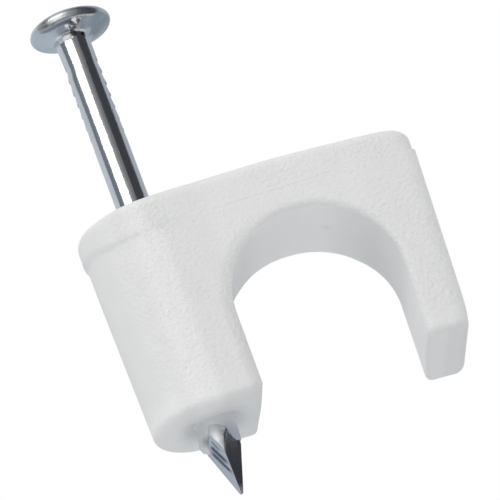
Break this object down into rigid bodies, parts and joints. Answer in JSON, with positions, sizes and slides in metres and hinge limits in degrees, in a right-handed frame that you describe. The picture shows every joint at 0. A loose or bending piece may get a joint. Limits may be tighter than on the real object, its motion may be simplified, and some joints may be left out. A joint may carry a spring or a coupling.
{
  "type": "cable staple",
  "caption": "Nail-in plastic clip that arches over one round cable, with its steel wire nail partly driven through the thick leg.",
  "frame": {"origin": "where the nail's axis meets the wall, which is the plane of both feet", "axes": "+Z along the nail, away from the wall to its head; +X from the nail leg to the outer leg; +Y along the cable"},
  "size_m": [0.016, 0.0056, 0.025],
  "materials": {
    "clip_body": "milky white polyethylene, spark-eroded on the front and rear, smoother in the slot and at the rounded end",
    "nail": "bright zinc-plated wire with a smooth shine"
  },
  "bodies": {
    "root": {"clip_body": "clip_body", "nail": "nail"}
  },
  "joints": []
}
